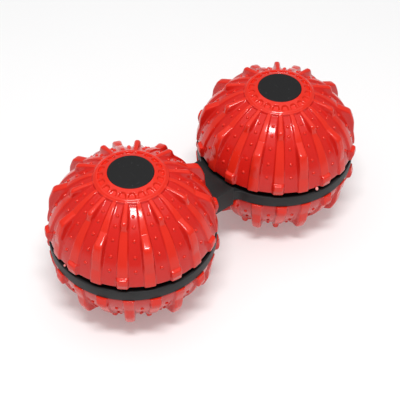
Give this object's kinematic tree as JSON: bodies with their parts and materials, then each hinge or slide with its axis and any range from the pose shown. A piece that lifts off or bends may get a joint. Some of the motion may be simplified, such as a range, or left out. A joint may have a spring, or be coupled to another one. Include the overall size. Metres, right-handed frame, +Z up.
{
  "type": "twin ball massage roller",
  "caption": "Hand-held massage roller: two ribbed balls, each split by a black figure-eight frame, spin on axes square to the frame.",
  "frame": {"origin": "on the ground under the middle of the part, which stands on its two lower caps", "axes": "+X from the left ball to the right ball, +Z up along the balls' spin axes"},
  "size_m": [0.1634, 0.0776, 0.0722],
  "materials": {
    "red_shell": "glossy moulded soft plastic",
    "black_frame": "satin moulded plastic with a fine texture",
    "cap_black": "satin moulded plastic, lightly scuffed",
    "core_plastic": "plain moulded plastic",
    "bush_acetal": "smooth natural acetal",
    "zinc_steel": "zinc plated"
  },
  "bodies": {
    "frame": {"frame": "black_frame", "left_upper_bush": "bush_acetal", "left_lower_bush": "bush_acetal", "right_upper_bush": "bush_acetal", "right_lower_bush": "bush_acetal"},
    "left_ball": {"left_upper_shell": "red_shell", "left_upper_core": "core_plastic", "left_upper_cap": "cap_black", "left_upper_washer": "zinc_steel", "left_lower_shell": "red_shell", "left_lower_core": "core_plastic", "left_lower_cap": "cap_black", "left_lower_washer": "zinc_steel", "left_clamp_bolt": "zinc_steel", "left_clamp_nut": "zinc_steel"},
    "right_ball": {"right_upper_shell": "red_shell", "right_upper_core": "core_plastic", "right_upper_cap": "cap_black", "right_upper_washer": "zinc_steel", "right_lower_shell": "red_shell", "right_lower_core": "core_plastic", "right_lower_cap": "cap_black", "right_lower_washer": "zinc_steel", "right_clamp_bolt": "zinc_steel", "right_clamp_nut": "zinc_steel"}
  },
  "joints": [
    {"name": "left_ball_spin", "type": "hinge", "parent": "frame", "child": "left_ball", "pos_m": [-0.04315, 0, 0.0361], "axis": [0, 0, 1], "continuous": true},
    {"name": "right_ball_spin", "type": "hinge", "parent": "frame", "child": "right_ball", "pos_m": [0.04315, 0, 0.0361], "axis": [0, 0, 1], "continuous": true}
  ]
}
